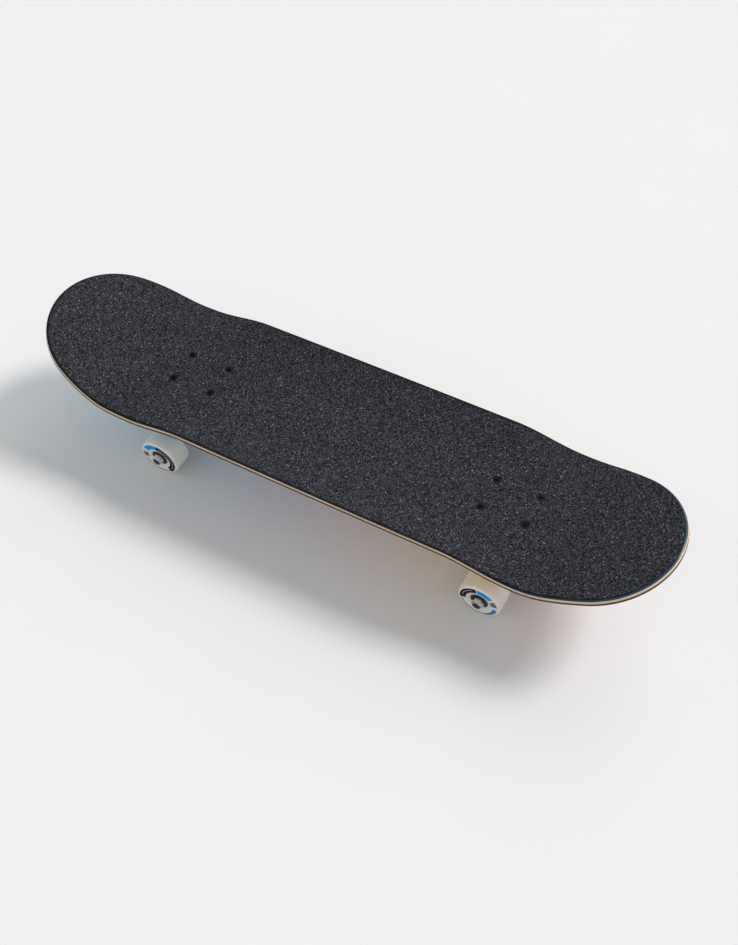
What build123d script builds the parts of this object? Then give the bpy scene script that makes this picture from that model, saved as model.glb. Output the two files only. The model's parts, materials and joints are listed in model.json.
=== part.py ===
from build123d import *
import os
from math import asin, cos, degrees, radians, sin, sqrt

# A street skateboard: a seven-ply maple board with grip tape, and two trucks with
# four urethane wheels on ball bearings.
#
# Frame: millimetres, +Z up, wheels standing on Z = 0. The nose points to -X and the
# tail to +X. The origin is under the middle of the whole board, so the middle of
# the wheelbase lies a little towards the tail.

inch = 25.4

# ---- Wheels and standing height ------------------------------------------------
wheel_diameter = 52.0
wheel_width = 27.4
wheel_radius = wheel_diameter / 2
axle_height = wheel_radius
truck_height = 52.0  # underside of the board to the axle's centre
board_bottom = axle_height + truck_height

# ---- Board layers --------------------------------------------------------------
ply_count = 7
ply_thickness = 1.5
grip_thickness = 0.8
grip_top = board_bottom + ply_count * ply_thickness + grip_thickness
top_edge_radius = 3.0  # round-over of the board's edge
bottom_edge_radius = 4.2
grip_inset = 1.1  # the grip is trimmed this far inside the board's outline

# ---- Board outline, seen from above --------------------------------------------
half_width = 7.8 * inch / 2
side_radius = 38300.0  # the sides bow outwards very slightly
tail = {
    "name": "tail",
    "way": 1,
    "shoulder_start": 255.9,  # from the middle of the wheelbase
    "shoulder_radius": 320.9,
    "shoulder_turn": 14.35,  # direction of the outline where the tip arc begins
    "kick_start": 258.5,
    "kick_angle": 17.4,
}
nose = {
    "name": "nose",
    "way": -1,
    "shoulder_start": 282.5,
    "shoulder_radius": 210.8,
    "shoulder_turn": 18.8,
    "kick_start": 266.1,
    "kick_angle": 20.4,
}
ends = (nose, tail)


def end_shape(end, depth):
    """Turn of the side arc, radius of the tip arc and reach of one end, at a depth below
    the grip surface. The edge is square to the kick, so it leans outwards going down."""
    start = end["shoulder_start"] + depth * sin(radians(end["kick_angle"]))
    side = asin(start / side_radius)
    turn = radians(end["shoulder_turn"])
    shoulder_y = half_width - side_radius * (1 - cos(side))
    drop = end["shoulder_radius"] * (cos(side) - cos(turn))
    tip_radius = (shoulder_y - drop) / cos(turn)
    shoulder_run = end["shoulder_radius"] * (sin(turn) - sin(side))
    return degrees(side), tip_radius, start + shoulder_run + tip_radius * (1 - sin(turn))


def edge_inset(depth_in_wood):
    """How far the rounded edge of the board has drawn in at a depth in the wood."""
    from_bottom = ply_count * ply_thickness - depth_in_wood
    for radius, from_face in ((top_edge_radius, depth_in_wood), (bottom_edge_radius, from_bottom)):
        if from_face < radius:
            return radius - sqrt(radius**2 - (radius - from_face) ** 2)
    return 0.0


ply_middles = [(number + 0.5) * ply_thickness for number in range(ply_count)]
for end in ends:
    reaches = [end_shape(end, grip_thickness + d)[2] - edge_inset(d) for d in ply_middles]
    end["reach"] = max(reaches)
middle = (nose["reach"] - tail["reach"]) / 2  # X of the middle of the wheelbase

# ---- Concave and kicks, measured on the grip surface ---------------------------
flat_half = 24.6  # half of the level strip along the middle of the board
concave_rise = 11.5  # how far the side edges curl up
concave_half = 170.0  # the full concave ends this far from the wheelbase's middle
fade_end = 252.1  # and has faded out here, before the kicks
fade_steps = 6
bend_radius = 112.5
kick_run = 135.0
blank_half = half_width + 3.0
blank_height = 300.0

# ---- Mounting bolts ------------------------------------------------------------
wheelbase = 362.0  # between the two inner rows of bolts
bolt_length_pitch = 2.125 * inch
bolt_width_pitch = 1.625 * inch
bolt_radius = 2.4
bolt_hole_radius = 2.75
bolt_head_radius = 4.7
bolt_head_angle = 82.0
bolt_head_sink = 0.2  # head below the grip surface
countersink_gap = 0.15
bolt_length = 1.0 * inch
bolt_nut_flats = 9.5
bolt_nut_height = 5.9
cross_length = 5.2
cross_width = 1.3
cross_depth = 1.8
truck_from_middle = wheelbase / 2 + bolt_length_pitch / 2

# ---- Truck, in its own side view ------------------------------------------------
# Places are (out, down): out along the board away from its middle, counted from the
# middle of the bolt pattern, and down from the underside of the board.
axle_out = 9.8
pivot_place = (27.0, 11.0)
ring_place = (-17.5, 33.5)
kingpin_lean = radians(28.0)
stem_foot = (12.0, 43.0)

flange_length = 84.0
flange_width = 58.0
flange_thickness = 5.5
flange_corner = 9.0
flange_edge_radius = 1.5
ridge_half = 13.5
ridge_side = [
    (-26.0, 0.0),
    (-21.5, 9.2),
    (3.0, 22.3),
    (7.5, 20.0),
    (11.5, 9.2),
    (15.0, 8.6),
    (36.3, 18.1),
    (40.0, 10.0),
    (41.0, 0.0),
]
kingpin_boss_radius = 15.5
kingpin_boss_length = 31.0  # cut off level at the underside of the board
pivot_boss_radius = 11.5
pivot_boss_mouth = 2.5
pivot_boss_depth = 9.0
cup_radius = 7.8
cup_depth = 8.0
cup_mouth = 3.5
ball_radius = 6.0
ball_gap = 0.3
stem_neck_radius = 4.8
stem_root_radius = 11.0
stem_neck_start = 2.0

kingpin_radius = 4.75
kingpin_head_flats = 14.3
kingpin_head_height = 5.5
head_socket_length = 22.0  # open towards the board
kingpin_chamfer = 0.6
kingpin_seat_thickness = 7.8
kingpin_tip = 1.0  # thread showing past the nut
kingpin_nut_height = 6.8
pin_gap = 0.1

ring_core = 9.0  # thickness between the two bushing seats
ring_seat_depth = 2.0
ring_radius = 17.5
ring_hole_radius = 8.5
ring_neck_half = 16.0
ring_root_half = 22.0
ring_seat_gap = 0.3
bushing_radius = 14.0
bushing_tip_radius = 9.6
bushing_hole_radius = 4.95
bushing_edge_radius = 1.2
board_bushing_height = 13.5
road_bushing_height = 9.5
seat_gap = 0.05
washer_thickness = 1.4
washer_rim = 1.0
washer_rim_height = 1.2
washer_rim_gap = 0.2
washer_edge_radius = 0.9
cone_rim_gap = 0.8  # the upper bushing widens away from its washer
board_washer_radius = bushing_radius + washer_rim_gap + washer_rim
road_washer_radius = bushing_tip_radius + cone_rim_gap + washer_rim

# ---- Hanger and axle -----------------------------------------------------------
hanger_half = 70.0
hanger_end_radius = 8.6
hanger_shoulder_radius = 9.2
hanger_shoulder_at = 48.0
hanger_middle_radius = 13.0
hanger_middle_half = 18.0
web_half = 5.0
web_side = [(5.0, 40.5), (17.0, 29.0), (16.0, 46.0)]  # between the ring, stem and axle
axle_radius = 5 / 16 * inch / 2
axle_half = 102.9
axle_chamfer = 0.8
axle_nut_flats = 12.7
axle_nut_hex = 4.8
axle_nut_collar = 1.7
axle_nut_collar_radius = 5.6

# ---- Wheel and bearings --------------------------------------------------------
speed_washer_thickness = 1.0
speed_washer_radius = 5.9
bearing_width = 7.0
bearing_radius = 11.0
bearing_bore_radius = 4.0
bearing_apart = 10.0  # between the two bearings of a wheel
hub_half = bearing_apart / 2 + bearing_width
wheel_middle = hanger_half + speed_washer_thickness + hub_half
wheel_lip_radius = 3.4
wheel_ledge_radius = 8.5
hub_rim_radius = 13.0
face_inner_radius = 15.2
spacer_radius = 5.2
fit_gap = 0.05
ball_pitch = 7.5
bearing_ball_radius = 1.95
balls_per_bearing = 7
groove_radius = 2.05
inner_race_radius = 6.1
outer_race_inner = 8.9
shield_inner = 6.35
shield_outer = 9.6
shield_thickness = 0.35
shield_inset = 0.1

os.makedirs("parts", exist_ok=True)


def save(piece, name):
    """Labels a finished piece and writes its STEP file."""
    piece.part.label = name
    export_step(piece.part, f"parts/{name}.step")


# ================================ Board ==========================================


def outline(inset, depth):
    """Top view of the board at a depth below the grip surface, drawn in by `inset`."""
    with BuildSketch(Plane.XY) as sketch:
        with BuildLine():
            for end in ends:
                way = end["way"]
                side_turn, tip_radius, _ = end_shape(end, depth)
                side_arc = JernArc(
                    start=(middle, half_width - inset),
                    tangent=(way, 0),
                    radius=side_radius - inset,
                    arc_size=-way * side_turn,
                )
                shoulder = JernArc(
                    start=side_arc @ 1,
                    tangent=side_arc % 1,
                    radius=end["shoulder_radius"] - inset,
                    arc_size=-way * (end["shoulder_turn"] - side_turn),
                )
                JernArc(
                    start=shoulder @ 1,
                    tangent=shoulder % 1,
                    radius=tip_radius - inset,
                    arc_size=-way * (90 - end["shoulder_turn"]),
                )
            mirror(about=Plane.XZ)
        make_face()
    return sketch.sketch


def cross_section(x, depth, thickness, rise):
    """Section of a layer across the board: level in the middle, with parabolas that
    lift both side edges by `rise`."""
    curl = rise * ((blank_half - flat_half) / (half_width - flat_half)) ** 2
    knee = (flat_half + blank_half) / 2
    with BuildSketch(Plane.YZ.offset(x)) as sketch:
        with BuildLine():
            for level in (grip_top - depth, grip_top - depth - thickness):
                Line((-flat_half, level), (flat_half, level))
                for side in (-1, 1):
                    Bezier(
                        (side * flat_half, level),
                        (side * knee, level),
                        (side * blank_half, level + curl),
                    )
            for side in (-1, 1):
                top_corner = (side * blank_half, grip_top - depth + curl)
                Line(top_corner, (side * blank_half, grip_top - depth - thickness + curl))
        make_face()
    return sketch.sketch


def kick_section(end, depth, thickness):
    """Side view of a layer from the end of the concave to past the tip of the board."""
    way = end["way"]
    corners = []
    with BuildSketch(Plane.XZ) as sketch:
        with BuildLine():
            for below in (depth, depth + thickness):
                level = Line(
                    (middle + way * fade_end, grip_top - below),
                    (middle + way * end["kick_start"], grip_top - below),
                )
                bend = JernArc(
                    start=level @ 1,
                    tangent=(way, 0),
                    radius=bend_radius + below,
                    arc_size=way * end["kick_angle"],
                )
                run = Line(bend @ 1, bend @ 1 + (bend % 1) * kick_run)
                corners.append((level @ 0, run @ 1))
            Line(corners[0][0], corners[1][0])
            Line(corners[0][1], corners[1][1])
        make_face()
    return sketch.sketch


def fade(step):
    """Share of the concave left at one step from its end to the start of the kick."""
    t = step / fade_steps
    return 1 - t * t * (3 - 2 * t)


bolt_points = [
    (middle + end["way"] * (truck_from_middle + u * bolt_length_pitch / 2), v * bolt_width_pitch / 2)
    for end in ends
    for u in (-1, 1)
    for v in (-1, 1)
]


def board_layer(name, depth, thickness, inset):
    """A whole layer of the board, from `depth` below the grip surface downwards."""
    with BuildPart() as layer:
        level_start = cross_section(middle - concave_half, depth, thickness, concave_rise)
        extrude(level_start, amount=2 * concave_half)
        for end in ends:
            fading = []
            for step in range(fade_steps + 1):
                reach = concave_half + (fade_end - concave_half) * step / fade_steps
                x = middle + end["way"] * reach
                fading.append(cross_section(x, depth, thickness, concave_rise * fade(step)))
            loft(fading)
            extrude(kick_section(end, depth, thickness), amount=blank_half, both=True)
        extrude(outline(inset, depth + thickness / 2), amount=blank_height, mode=Mode.INTERSECT)
        with Locations([(x, y, grip_top - bolt_head_sink) for x, y in bolt_points]):
            CounterSinkHole(
                radius=bolt_hole_radius,
                counter_sink_radius=bolt_head_radius + countersink_gap,
                counter_sink_angle=bolt_head_angle,
            )
    save(layer, name)


board_layer("grip_tape", 0.0, grip_thickness, grip_inset)
for number in range(1, ply_count + 1):
    wood_depth = (number - 1) * ply_thickness
    board_layer(
        f"ply_{number}",
        grip_thickness + wood_depth,
        ply_thickness,
        edge_inset(wood_depth + ply_thickness / 2),
    )

# ============================ Mounting hardware ===================================

nut_seat = board_bottom - flange_thickness
bolt_top = grip_top - bolt_head_sink
head_height = (bolt_head_radius - bolt_radius) / sin(radians(bolt_head_angle / 2))
head_height = head_height * cos(radians(bolt_head_angle / 2))
for end in ends:
    own_points = [p for p in bolt_points if (p[0] - middle) * end["way"] > 0]
    with BuildPart() as bolts:
        with Locations([(x, y, bolt_top) for x, y in own_points]):
            Cone(bolt_radius, bolt_head_radius, head_height, align=(Align.CENTER, Align.CENTER, Align.MAX))
            Cylinder(bolt_radius, bolt_length, align=(Align.CENTER, Align.CENTER, Align.MAX))
            for length, width in ((cross_length, cross_width), (cross_width, cross_length)):
                Box(
                    length,
                    width,
                    cross_depth,
                    align=(Align.CENTER, Align.CENTER, Align.MAX),
                    mode=Mode.SUBTRACT,
                )
    save(bolts, f"{end['name']}_mounting_bolts")

    with BuildPart() as nuts:
        with BuildSketch(Plane.XY.offset(nut_seat)):
            with Locations(own_points):
                RegularPolygon(bolt_nut_flats / 2, 6, major_radius=False)
                Circle(bolt_radius + fit_gap, mode=Mode.SUBTRACT)
        extrude(amount=-bolt_nut_height)
    save(nuts, f"{end['name']}_mounting_nuts")

# ================================ Trucks ==========================================

UP = (Align.CENTER, Align.CENTER, Align.MIN)


def make_truck(end):
    """One truck, with everything that is not part of its two wheels."""
    way = end["way"]
    label = end["name"]
    start_x = middle + way * truck_from_middle

    def place(out, down):
        return Vector(start_x + way * out, 0, board_bottom - down)

    def along_kingpin(edge):
        return kingpin.to_local_coords(edge).center().Z

    # Along the kingpin, from the board towards the road, from the ring's middle
    kingpin = Plane(
        origin=place(*ring_place),
        x_dir=(0, way, 0),
        z_dir=(-way * sin(kingpin_lean), 0, -cos(kingpin_lean)),
    )
    # Along the hanger's stem, from the pivot ball towards the axle
    stem_line = place(*stem_foot) - place(*pivot_place)
    pivot = Plane(origin=place(*pivot_place), x_dir=(0, way, 0), z_dir=stem_line.normalized())
    axle_x = start_x + way * axle_out

    board_seat = -(ring_core / 2 + seat_gap)
    washer_seat = board_seat - board_bushing_height - washer_thickness
    head_seat = washer_seat - kingpin_seat_thickness
    road_seat = ring_core / 2 + seat_gap
    road_washer_seat = road_seat + road_bushing_height
    nut_start = road_washer_seat + washer_thickness

    with BuildPart() as baseplate:
        with BuildSketch(Plane.XY.offset(board_bottom)):
            with Locations((start_x, 0)):
                RectangleRounded(flange_length, flange_width, flange_corner)
        extrude(amount=-flange_thickness)
        fillet(baseplate.faces().sort_by(Axis.Z)[0].edges(), flange_edge_radius)
        with BuildSketch(Plane.XZ):
            with BuildLine():
                Polyline([(start_x + way * u, board_bottom - w) for u, w in ridge_side], close=True)
            make_face()
        extrude(amount=ridge_half, both=True)
        with BuildSketch(kingpin.offset(washer_seat)):
            Circle(kingpin_boss_radius)
        extrude(amount=-kingpin_boss_length)
        with BuildSketch(pivot.offset(pivot_boss_mouth)):
            Circle(pivot_boss_radius)
        extrude(amount=-pivot_boss_depth - pivot_boss_mouth)
        split(bisect_by=Plane.XY.offset(board_bottom), keep=Keep.BOTTOM)
        with BuildSketch(kingpin.offset(washer_seat)):
            Circle(kingpin_radius + pin_gap)
        extrude(amount=-kingpin_seat_thickness, mode=Mode.SUBTRACT)
        with BuildSketch(kingpin.offset(head_seat)):
            RegularPolygon(kingpin_head_flats / 2 + pin_gap, 6, major_radius=False)
        extrude(amount=-head_socket_length, mode=Mode.SUBTRACT)
        with BuildSketch(pivot.offset(cup_mouth)):
            Circle(cup_radius)
        extrude(amount=-cup_depth - cup_mouth, mode=Mode.SUBTRACT)
        with Locations([(x, y, board_bottom) for x, y in bolt_points]):
            Hole(bolt_hole_radius)
    save(baseplate, f"{label}_baseplate")

    with BuildPart(pivot.offset(-cup_depth)) as cup:
        Cylinder(cup_radius, cup_depth + cup_mouth, align=UP)
        with Locations((0, 0, cup_depth)):
            Sphere(ball_radius + ball_gap, mode=Mode.SUBTRACT)
            Cylinder(ball_radius + ball_gap, 2 * cup_mouth, align=UP, mode=Mode.SUBTRACT)
    save(cup, f"{label}_pivot_cup")

    with BuildPart() as pin:
        with BuildSketch(kingpin.offset(head_seat)):
            RegularPolygon(kingpin_head_flats / 2, 6, major_radius=False)
        extrude(amount=-kingpin_head_height)
        with BuildSketch(kingpin.offset(head_seat)):
            Circle(kingpin_radius)
        extrude(amount=nut_start + kingpin_nut_height + kingpin_tip - head_seat)
        chamfer(pin.faces().sort_by(Axis.Z)[0].edges(), kingpin_chamfer)
    save(pin, f"{label}_kingpin")

    with BuildPart() as pin_nut:
        with BuildSketch(kingpin.offset(nut_start)):
            RegularPolygon(kingpin_head_flats / 2, 6, major_radius=False)
            Circle(kingpin_radius + fit_gap, mode=Mode.SUBTRACT)
        extrude(amount=kingpin_nut_height)
    save(pin_nut, f"{label}_kingpin_nut")

    with BuildPart(kingpin.offset(washer_seat)) as board_washer:
        Cylinder(board_washer_radius, washer_thickness + washer_rim_height, align=UP)
        rim_edges = board_washer.edges().sort_by(along_kingpin)
        fillet(rim_edges[0], washer_edge_radius)
        with Locations((0, 0, washer_thickness)):
            Cylinder(bushing_radius + washer_rim_gap, washer_rim_height, align=UP, mode=Mode.SUBTRACT)
        Cylinder(kingpin_radius + pin_gap, washer_thickness, align=UP, mode=Mode.SUBTRACT)
    save(board_washer, f"{label}_board_side_washer")

    with BuildPart(kingpin.offset(board_seat - board_bushing_height)) as board_bushing:
        Cylinder(bushing_radius, board_bushing_height, align=UP)
        fillet(board_bushing.edges().filter_by(GeomType.CIRCLE), bushing_edge_radius)
        Cylinder(bushing_hole_radius, board_bushing_height, align=UP, mode=Mode.SUBTRACT)
    save(board_bushing, f"{label}_board_side_bushing")

    with BuildPart(kingpin.offset(road_seat)) as road_bushing:
        Cone(bushing_radius, bushing_tip_radius, road_bushing_height, align=UP)
        fillet(road_bushing.edges().filter_by(GeomType.CIRCLE), bushing_edge_radius)
        Cylinder(bushing_hole_radius, road_bushing_height, align=UP, mode=Mode.SUBTRACT)
    save(road_bushing, f"{label}_road_side_bushing")

    with BuildPart(kingpin.offset(road_washer_seat - washer_rim_height)) as road_washer:
        Cylinder(road_washer_radius, washer_thickness + washer_rim_height, align=UP)
        rim_edges = road_washer.edges().sort_by(along_kingpin)
        fillet(rim_edges[-1], washer_edge_radius)
        Cylinder(road_washer_radius - washer_rim, washer_rim_height, align=UP, mode=Mode.SUBTRACT)
        Cylinder(
            kingpin_radius + pin_gap,
            washer_thickness + washer_rim_height,
            align=UP,
            mode=Mode.SUBTRACT,
        )
    save(road_washer, f"{label}_road_side_washer")

    with BuildPart() as hanger:
        with BuildSketch(Plane.YZ.offset(axle_x)):
            with BuildLine():
                Polyline(
                    (-hanger_half, axle_height),
                    (-hanger_half, axle_height + hanger_end_radius),
                    (-hanger_shoulder_at, axle_height + hanger_shoulder_radius),
                    (-hanger_middle_half, axle_height + hanger_middle_radius),
                    (hanger_middle_half, axle_height + hanger_middle_radius),
                    (hanger_shoulder_at, axle_height + hanger_shoulder_radius),
                    (hanger_half, axle_height + hanger_end_radius),
                    (hanger_half, axle_height),
                    close=True,
                )
            make_face()
        revolve(axis=Axis((axle_x, 0, axle_height), (0, 1, 0)))
        arm_reach = (place(axle_out, truck_height) - kingpin.origin).dot(kingpin.y_dir)
        with BuildSketch(kingpin):
            Circle(ring_radius)
            Polygon(
                (-ring_neck_half, 0),
                (ring_neck_half, 0),
                (ring_root_half, arm_reach),
                (-ring_root_half, arm_reach),
                align=None,
            )
        extrude(amount=ring_core / 2 + ring_seat_depth, both=True)
        with BuildSketch(pivot.offset(stem_neck_start)):
            Circle(stem_neck_radius)
        with BuildSketch(pivot.offset(stem_line.length)):
            Circle(stem_root_radius)
        loft()
        with Locations(pivot):
            Sphere(ball_radius)
        with BuildSketch(Plane.XZ):
            with BuildLine():
                Polyline([(start_x + way * u, board_bottom - w) for u, w in web_side], close=True)
            make_face()
        extrude(amount=web_half, both=True)
        for seat_side in (-1, 1):
            with BuildSketch(kingpin.offset(seat_side * ring_core / 2)):
                Circle(bushing_radius + ring_seat_gap)
            extrude(amount=seat_side * 2 * ring_seat_depth, mode=Mode.SUBTRACT)
        with BuildSketch(kingpin):
            Circle(ring_hole_radius)
        extrude(amount=ring_core, both=True, mode=Mode.SUBTRACT)
        with BuildSketch(Plane.XZ):
            with Locations((axle_x, axle_height)):
                Circle(axle_radius)
        extrude(amount=hanger_half, both=True, mode=Mode.SUBTRACT)
    save(hanger, f"{label}_hanger")

    with BuildPart() as axle:
        with BuildSketch(Plane.XZ):
            with Locations((axle_x, axle_height)):
                Circle(axle_radius)
        extrude(amount=axle_half, both=True)
        chamfer(axle.edges().filter_by(GeomType.CIRCLE), axle_chamfer)
    save(axle, f"{label}_axle")

    with BuildPart() as washers:
        for side in (-1, 1):
            for inner in (hanger_half, wheel_middle + hub_half):
                with BuildSketch(Plane.XZ.offset(-side * inner)):
                    with Locations((axle_x, axle_height)):
                        Circle(speed_washer_radius)
                        Circle(axle_radius + fit_gap, mode=Mode.SUBTRACT)
                extrude(amount=-side * speed_washer_thickness)
    save(washers, f"{label}_speed_washers")

    nut_from = wheel_middle + hub_half + speed_washer_thickness
    with BuildPart() as axle_nuts:
        for side in (-1, 1):
            with BuildSketch(Plane.XZ.offset(-side * nut_from)):
                with Locations((axle_x, axle_height)):
                    RegularPolygon(axle_nut_flats / 2, 6, major_radius=False)
            extrude(amount=-side * axle_nut_hex)
            with BuildSketch(Plane.XZ.offset(-side * (nut_from + axle_nut_hex))):
                with Locations((axle_x, axle_height)):
                    Circle(axle_nut_collar_radius)
            extrude(amount=-side * axle_nut_collar)
            with BuildSketch(Plane.XZ.offset(-side * nut_from)):
                with Locations((axle_x, axle_height)):
                    Circle(axle_radius + fit_gap)
            extrude(amount=-side * (axle_nut_hex + axle_nut_collar), mode=Mode.SUBTRACT)
    save(axle_nuts, f"{label}_axle_nuts")
    return axle_x


# ================================ Wheels ==========================================


def turned(axle_x, y, outline_points, lips=0.0):
    """Turns a closed half-section about the axle. Its points are (along, radius)."""
    with BuildSketch(Plane.YZ.offset(axle_x)) as section:
        with BuildLine():
            Polyline([(y + a, axle_height + r) for a, r in outline_points], close=True)
        make_face()
        if lips:
            rim = section.vertices().group_by(Axis.Y)[-1]
            fillet(rim, lips)
    revolve(section.sketch, axis=Axis((axle_x, 0, axle_height), (0, 1, 0)))


def tube(axle_x, y, length, inner, outer):
    """A plain ring about the axle, centred at y."""
    turned(
        axle_x,
        y,
        [(-length / 2, inner), (length / 2, inner), (length / 2, outer), (-length / 2, outer)],
    )


def ball_groove(axle_x, y):
    """Cuts the ball track out of a race in the current part."""
    with BuildSketch(Plane.YZ.offset(axle_x)) as track:
        with Locations((y, axle_height + ball_pitch)):
            Circle(groove_radius)
    axle_line = Axis((axle_x, 0, axle_height), (0, 1, 0))
    revolve(track.sketch, axis=axle_line, mode=Mode.SUBTRACT)


def make_wheel(label, axle_x, side):
    """One wheel with its two bearings and the spacer between them."""
    centre = side * wheel_middle
    half = wheel_width / 2
    bearing_offset = bearing_apart / 2 + bearing_width / 2
    bearing_places = [centre - bearing_offset, centre + bearing_offset]

    with BuildPart() as wheel:
        outer_half = [
            (half, wheel_radius),
            (half, face_inner_radius),
            (hub_half, hub_rim_radius),
            (hub_half, bearing_radius),
            (bearing_apart / 2, bearing_radius),
            (bearing_apart / 2, wheel_ledge_radius),
        ]
        inner_half = [(-a, r) for a, r in reversed(outer_half)]
        turned(axle_x, centre, outer_half + inner_half, lips=wheel_lip_radius)
    save(wheel, f"{label}_wheel")

    with BuildPart() as outer_races:
        for y in bearing_places:
            step = bearing_width / 2 - shield_inset - shield_thickness
            end_half = [
                (bearing_width / 2, bearing_radius),
                (bearing_width / 2, shield_outer),
                (step, shield_outer),
                (step, outer_race_inner),
            ]
            turned(axle_x, y, end_half + [(-a, r) for a, r in reversed(end_half)])
            ball_groove(axle_x, y)
    save(outer_races, f"{label}_bearing_outer_races")

    with BuildPart() as shields:
        for y in bearing_places:
            for face in (-1, 1):
                at = y + face * (bearing_width / 2 - shield_inset - shield_thickness / 2)
                tube(axle_x, at, shield_thickness, shield_inner, shield_outer)
    save(shields, f"{label}_bearing_shields")

    with BuildPart() as inner_races:
        for y in bearing_places:
            tube(axle_x, y, bearing_width, bearing_bore_radius, inner_race_radius)
            ball_groove(axle_x, y)
    save(inner_races, f"{label}_bearing_inner_races")

    with BuildPart() as balls:
        for y in bearing_places:
            with Locations(Plane((axle_x, y, axle_height), x_dir=(0, 0, 1), z_dir=(0, 1, 0))):
                with PolarLocations(ball_pitch, balls_per_bearing):
                    Sphere(bearing_ball_radius)
    save(balls, f"{label}_bearing_balls")

    with BuildPart() as spacer:
        tube(axle_x, centre, bearing_apart, axle_radius + fit_gap, spacer_radius)
    save(spacer, f"{label}_axle_spacer")


for end in ends:
    end_axle_x = make_truck(end)
    for side_name, side in (("left", -1), ("right", 1)):
        make_wheel(f"{end['name']}_{side_name}", end_axle_x, side)
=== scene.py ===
import json
import math

import bmesh
import bpy
import numpy as np
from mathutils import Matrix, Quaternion, Vector


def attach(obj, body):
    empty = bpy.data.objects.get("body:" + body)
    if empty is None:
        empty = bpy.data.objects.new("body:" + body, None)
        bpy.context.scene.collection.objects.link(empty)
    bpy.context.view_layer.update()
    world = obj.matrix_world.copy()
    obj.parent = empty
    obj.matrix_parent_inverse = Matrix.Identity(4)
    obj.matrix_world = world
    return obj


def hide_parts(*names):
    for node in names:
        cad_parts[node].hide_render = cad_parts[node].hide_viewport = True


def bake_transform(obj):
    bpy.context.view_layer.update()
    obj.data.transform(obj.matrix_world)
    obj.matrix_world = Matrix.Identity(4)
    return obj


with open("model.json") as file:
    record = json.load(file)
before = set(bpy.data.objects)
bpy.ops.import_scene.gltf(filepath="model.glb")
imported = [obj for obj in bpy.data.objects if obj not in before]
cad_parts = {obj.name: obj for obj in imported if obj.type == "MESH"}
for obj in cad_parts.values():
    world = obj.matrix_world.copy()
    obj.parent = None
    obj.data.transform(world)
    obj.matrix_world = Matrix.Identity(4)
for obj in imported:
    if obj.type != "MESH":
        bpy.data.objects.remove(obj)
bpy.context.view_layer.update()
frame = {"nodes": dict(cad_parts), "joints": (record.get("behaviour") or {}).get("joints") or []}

MM = 0.001
nodes = frame["nodes"]
joints = {j["name"]: j for j in frame["joints"]}
ENDS = {"nose": -1, "tail": 1}
SIDES = {"left": -1, "right": 1}

# ---------------------------------------------------------------- board shape
# The same driving dimensions as the CAD board. Everything is in metres.
PLIES = 7
PLY = 1.5 * MM
GRIP = 0.8 * MM
TOP_EDGE = 3.0 * MM
BOTTOM_EDGE = 4.2 * MM
HALF_WIDTH = 99.06 * MM
SIDE_RADIUS = 38.3  # the long sides are almost straight
FLAT_HALF = 24.6 * MM
RISE = 11.5 * MM
CONCAVE_HALF = 170 * MM
FADE_END = 252.1 * MM
BEND_RADIUS = 112.5 * MM
AXLE_TO_BOARD = 52 * MM
POINT_SPACING = 2.5 * MM
END_SHAPE = {
    "tail": {
        "way": 1, "start": 255.9 * MM, "radius": 320.9 * MM, "turn": 14.35,
        "kick": 258.5 * MM, "angle": 17.4,
    },
    "nose": {
        "way": -1, "start": 282.5 * MM, "radius": 210.8 * MM, "turn": 18.8,
        "kick": 266.1 * MM, "angle": 20.4,
    },
}
for shape in END_SHAPE.values():
    shape["turn"] = math.radians(shape["turn"])
    shape["angle"] = math.radians(shape["angle"])

axle_x = {end: joints[f"{end}_left_wheel_spin"]["pos_m"][0] for end in ENDS}
MIDDLE = sum(axle_x.values()) / 2
GRIP_TOP = joints["nose_left_wheel_spin"]["pos_m"][2] + AXLE_TO_BOARD + PLIES * PLY + GRIP


def outline(inset, depth):
    """Points round the board, `inset` inside its outline, from the tail's tip through +Y.

    The edge is square to the kicks, so at each end it leans outwards going down."""
    quarters = {}
    for name, shape in END_SHAPE.items():
        points = []
        turn = shape["turn"]
        start = shape["start"] + depth * math.sin(shape["angle"])
        side = math.asin(start / SIDE_RADIUS)
        shoulder_y = HALF_WIDTH - SIDE_RADIUS * (1 - math.cos(side))
        tip = (shoulder_y - shape["radius"] * (math.cos(side) - math.cos(turn))) / math.cos(turn)
        straight = SIDE_RADIUS - inset
        steps = round(shape["start"] / POINT_SPACING)
        for k in range(steps):
            a = side * k / steps
            y = HALF_WIDTH - inset - straight * (1 - math.cos(a))
            points.append((straight * math.sin(a), y))
        x0 = straight * math.sin(side)
        y0 = HALF_WIDTH - inset - straight * (1 - math.cos(side))
        radius = shape["radius"] - inset
        steps = round(shape["radius"] * turn / POINT_SPACING)
        for k in range(steps):
            a = side + (turn - side) * k / steps
            x = x0 + radius * (math.sin(a) - math.sin(side))
            points.append((x, y0 - radius * (math.cos(side) - math.cos(a))))
        x1 = x0 + radius * (math.sin(turn) - math.sin(side))
        y1 = y0 - radius * (math.cos(side) - math.cos(turn))
        radius = tip - inset
        sweep = math.pi / 2 - turn
        steps = round(HALF_WIDTH * sweep / POINT_SPACING)
        for k in range(steps + 1):
            a = turn + sweep * k / steps
            x = x1 + radius * (math.sin(a) - math.sin(turn))
            points.append((x, max(0.0, y1 - radius * (math.cos(turn) - math.cos(a)))))
        quarters[name] = np.array(points)
    tail, nose = quarters["tail"], quarters["nose"] * (-1, 1)
    upper = np.vstack([tail[::-1], nose[1:]])
    whole = np.vstack([upper, upper[-2:0:-1] * (1, -1)])
    return whole + (MIDDLE, 0)


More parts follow.
